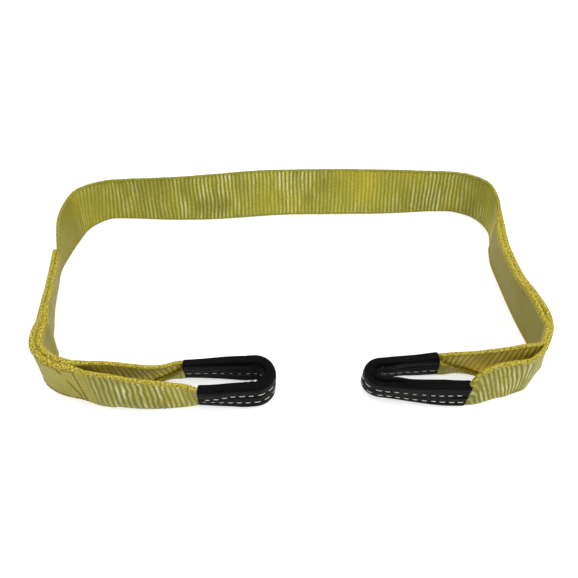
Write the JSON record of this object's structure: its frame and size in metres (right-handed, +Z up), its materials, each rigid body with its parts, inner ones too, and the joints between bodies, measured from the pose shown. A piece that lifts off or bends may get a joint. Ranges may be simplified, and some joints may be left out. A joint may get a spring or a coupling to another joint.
{
  "type": "flat eye and eye web sling",
  "caption": "Flat woven lifting sling with folded, sleeved eyes at both ends, lying on edge in an open C; the web bends along its length and the eyes open.",
  "frame": {"origin": "middle of the whole sling seen from above, on the floor under its lower selvedge", "axes": "+X from the left eye to the right eye, along the back run; +Y from the eyes to the back run; +Z up, across the width of the web"},
  "size_m": [0.4532, 0.2773, 0.05],
  "materials": {
    "webbing": "ribbed woven polyester with a slight sheen",
    "web_thread": "heavy bonded thread",
    "sleeve_cloth": "dull coated wear cloth",
    "sleeve_thread": "bonded lock-stitch thread"
  },
  "bodies": {
    "back_middle_right": {"back_middle_right_web": "webbing"},
    "back_end_right": {"back_end_right_web": "webbing"},
    "shoulder_right_a": {"shoulder_right_web_a": "webbing"},
    "shoulder_right_b": {"shoulder_right_web_b": "webbing"},
    "back_middle_left": {"back_middle_left_web": "webbing"},
    "back_end_left": {"back_end_left_web": "webbing"},
    "shoulder_left_a": {"shoulder_left_web_a": "webbing"},
    "shoulder_left_b": {"shoulder_left_web_b": "webbing"},
    "side_upper_right": {"side_upper_right_main_ply": "webbing", "side_upper_right_lap_ply": "webbing", "side_upper_right_stitching": "web_thread"},
    "side_lower_right": {"side_lower_right_main_ply": "webbing", "side_lower_right_lap_ply": "webbing", "side_lower_right_stitching": "web_thread"},
    "corner_right": {"corner_right_main_ply": "webbing", "corner_right_lap_ply": "webbing", "corner_right_stitching": "web_thread"},
    "throat_right": {"throat_right_main_ply": "webbing", "throat_right_lap_ply": "webbing", "throat_right_bar_tack": "web_thread"},
    "outer_leg_right": {"outer_leg_right_web": "webbing"},
    "outer_half_right": {"folded_web_outer_half_right": "webbing", "sleeve_outer_half_right": "sleeve_cloth", "sleeve_stitches_outer_half_right": "sleeve_thread"},
    "inner_leg_right": {"inner_leg_right_web": "webbing"},
    "inner_half_right": {"folded_web_inner_half_right": "webbing", "sleeve_inner_half_right": "sleeve_cloth", "sleeve_stitches_inner_half_right": "sleeve_thread"},
    "side_upper_left": {"side_upper_left_web": "webbing"},
    "side_lower_left": {"side_lower_left_main_ply": "webbing", "side_lower_left_lap_ply": "webbing", "side_lower_left_stitching": "web_thread"},
    "corner_left": {"corner_left_main_ply": "webbing", "corner_left_lap_ply": "webbing", "corner_left_stitching": "web_thread"},
    "throat_left": {"throat_left_main_ply": "webbing", "throat_left_lap_ply": "webbing", "throat_left_bar_tack": "web_thread"},
    "outer_leg_left": {"outer_leg_left_web": "webbing"},
    "outer_half_left": {"folded_web_outer_half_left": "webbing", "sleeve_outer_half_left": "sleeve_cloth", "sleeve_stitches_outer_half_left": "sleeve_thread"},
    "inner_leg_left": {"inner_leg_left_web": "webbing"},
    "inner_half_left": {"folded_web_inner_half_left": "webbing", "sleeve_inner_half_left": "sleeve_cloth", "sleeve_stitches_inner_half_left": "sleeve_thread"}
  },
  "joints": [
    {"name": "middle_bend", "type": "hinge", "parent": "back_middle_right", "child": "back_middle_left", "pos_m": [0.00535, 0.13618, 0], "axis": [0, 0, 1], "range_deg": [-20, 1]},
    {"name": "back_bend_right", "type": "hinge", "parent": "back_middle_right", "child": "back_end_right", "pos_m": [0.10035, 0.13458, 0], "axis": [0, 0, -1], "range_deg": [-20.1, 1.1]},
    {"name": "back_bend_left", "type": "hinge", "parent": "back_middle_left", "child": "back_end_left", "pos_m": [-0.08965, 0.12378, 0], "axis": [0, 0, 1], "range_deg": [-20.1, 1.1]},
    {"name": "shoulder_bend_right", "type": "hinge", "parent": "shoulder_right_a", "child": "shoulder_right_b", "pos_m": [0.21585, 0.12088, 0], "axis": [0, 0, -1], "range_deg": [-43, 2]},
    {"name": "shoulder_bend_right_back", "type": "hinge", "parent": "back_end_right", "child": "shoulder_right_a", "pos_m": [0.19235, 0.13268, 0], "axis": [0, 0, -1], "range_deg": [-24.18, 1.22]},
    {"name": "shoulder_bend_right_side", "type": "hinge", "parent": "shoulder_right_b", "child": "side_upper_right", "pos_m": [0.22485, 0.09538, 0], "axis": [0, 0, -1], "range_deg": [-24.18, 1.22]},
    {"name": "side_bow_right", "type": "hinge", "parent": "side_upper_right", "child": "side_lower_right", "pos_m": [0.21655, -0.00462, 0], "axis": [0, 0, -1], "range_deg": [-0.46, 7.84]},
    {"name": "corner_bend_right", "type": "hinge", "parent": "side_lower_right", "child": "corner_right", "pos_m": [0.22235, -0.08262, 0], "axis": [0, 0, -1], "range_deg": [-45, 12]},
    {"name": "corner_bend_right_throat", "type": "hinge", "parent": "corner_right", "child": "throat_right", "pos_m": [0.21185, -0.10412, 0], "axis": [0, 0, -1], "range_deg": [-40.6, 10.9]},
    {"name": "shoulder_bend_left", "type": "hinge", "parent": "shoulder_left_a", "child": "shoulder_left_b", "pos_m": [-0.20815, 0.10988, 0], "axis": [0, 0, 1], "range_deg": [-36, 2]},
    {"name": "shoulder_bend_left_back", "type": "hinge", "parent": "back_end_left", "child": "shoulder_left_a", "pos_m": [-0.18265, 0.11958, 0], "axis": [0, 0, 1], "range_deg": [-21.7, 1.3]},
    {"name": "shoulder_bend_left_side", "type": "hinge", "parent": "shoulder_left_b", "child": "side_upper_left", "pos_m": [-0.22485, 0.08538, 0], "axis": [0, 0, 1], "range_deg": [-32.5, 1.9]},
    {"name": "side_bow_left", "type": "hinge", "parent": "side_upper_left", "child": "side_lower_left", "pos_m": [-0.22365, 0.02538, 0], "axis": [0, 0, 1], "range_deg": [-11.26, 0.72]},
    {"name": "corner_bend_left", "type": "hinge", "parent": "side_lower_left", "child": "corner_left", "pos_m": [-0.19865, -0.09912, 0], "axis": [0, 0, 1], "range_deg": [-45, 12]},
    {"name": "corner_bend_left_throat", "type": "hinge", "parent": "corner_left", "child": "throat_left", "pos_m": [-0.18265, -0.11762, 0], "axis": [0, 0, 1], "range_deg": [-40.6, 10.9]},
    {"name": "eye_open_right", "type": "hinge", "parent": "throat_right", "child": "outer_leg_right", "pos_m": [0.19998, -0.11646, 0], "axis": [0, 0, 1], "range_deg": [-3, 18]},
    {"name": "eye_open_right_inner_leg", "type": "hinge", "parent": "throat_right", "child": "inner_leg_right", "pos_m": [0.19894, -0.11275, 0], "axis": [0, 0, 1], "range_deg": [-18.1, 3.1]},
    {"name": "eye_open_right_outer_half", "type": "hinge", "parent": "outer_leg_right", "child": "outer_half_right", "pos_m": [0.15135, -0.12962, 0], "axis": [0, 0, 1], "range_deg": [-36.1, 6.1]},
    {"name": "eye_open_right_inner_half", "type": "hinge", "parent": "inner_leg_right", "child": "inner_half_right", "pos_m": [0.13146, -0.1011, 0], "axis": [0, 0, 1], "range_deg": [-6.1, 36.1]},
    {"name": "eye_open_left", "type": "hinge", "parent": "throat_left", "child": "outer_leg_left", "pos_m": [-0.15308, -0.13085, 0], "axis": [0, 0, -1], "range_deg": [-3, 24]},
    {"name": "eye_open_left_inner_leg", "type": "hinge", "parent": "throat_left", "child": "inner_leg_left", "pos_m": [-0.15332, -0.12701, 0], "axis": [0, 0, -1], "range_deg": [-24.1, 3.1]},
    {"name": "eye_open_left_outer_half", "type": "hinge", "parent": "outer_leg_left", "child": "outer_half_left", "pos_m": [-0.08265, -0.13462, 0], "axis": [0, 0, -1], "range_deg": [-48.1, 6.1]},
    {"name": "eye_open_left_inner_half", "type": "hinge", "parent": "inner_leg_left", "child": "inner_half_left", "pos_m": [-0.0937, -0.11393, 0], "axis": [0, 0, -1], "range_deg": [-6.1, 48.1]}
  ],
  "couplings": [
    {"joint": "back_bend_right", "follows": "middle_bend", "ratio": 1},
    {"joint": "back_bend_left", "follows": "middle_bend", "ratio": 1},
    {"joint": "shoulder_bend_right_back", "follows": "shoulder_bend_right", "ratio": 0.56},
    {"joint": "shoulder_bend_right_side", "follows": "shoulder_bend_right", "ratio": 0.56},
    {"joint": "side_bow_right", "follows": "shoulder_bend_right", "ratio": -0.18},
    {"joint": "corner_bend_right_throat", "follows": "corner_bend_right", "ratio": 0.9},
    {"joint": "shoulder_bend_left_back", "follows": "shoulder_bend_left", "ratio": 0.6},
    {"joint": "shoulder_bend_left_side", "follows": "shoulder_bend_left", "ratio": 0.9},
    {"joint": "side_bow_left", "follows": "shoulder_bend_left", "ratio": 0.31},
    {"joint": "corner_bend_left_throat", "follows": "corner_bend_left", "ratio": 0.9},
    {"joint": "eye_open_right_inner_leg", "follows": "eye_open_right", "ratio": -1},
    {"joint": "eye_open_right_outer_half", "follows": "eye_open_right", "ratio": -2},
    {"joint": "eye_open_right_inner_half", "follows": "eye_open_right", "ratio": 2},
    {"joint": "eye_open_left_inner_leg", "follows": "eye_open_left", "ratio": -1},
    {"joint": "eye_open_left_outer_half", "follows": "eye_open_left", "ratio": -2},
    {"joint": "eye_open_left_inner_half", "follows": "eye_open_left", "ratio": 2}
  ]
}
